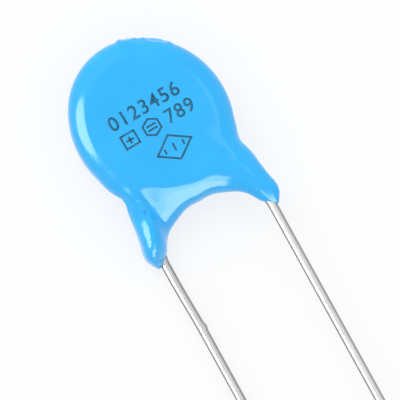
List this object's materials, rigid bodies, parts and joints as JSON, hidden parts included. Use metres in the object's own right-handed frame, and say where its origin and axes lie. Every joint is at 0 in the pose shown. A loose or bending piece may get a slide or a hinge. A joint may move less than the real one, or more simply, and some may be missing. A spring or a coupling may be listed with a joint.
{
  "type": "disc varistor",
  "caption": "Radial disc varistor: an oval blue epoxy-dipped body with drips down two straight, parallel tinned wire leads.",
  "frame": {"origin": "middle of the disc on the flat rear face of the coating, which the part lies on", "axes": "+Z out through the front face, +Y away from the leads, which run along -Y; the front lead is on +X"},
  "size_m": [0.0076, 0.0352, 0.0028],
  "materials": {
    "epoxy": "glossy dipped epoxy",
    "zinc_oxide": "matte sintered",
    "silver_film": "matte fired silver",
    "solder": "satin solder",
    "tinned_wire": "bright tin plate"
  },
  "bodies": {
    "root": {"epoxy_coating": "epoxy", "zinc_oxide_disc": "zinc_oxide", "front_electrode": "silver_film", "rear_electrode": "silver_film", "front_solder": "solder", "rear_solder": "solder", "front_lead": "tinned_wire", "rear_lead": "tinned_wire"}
  },
  "joints": []
}
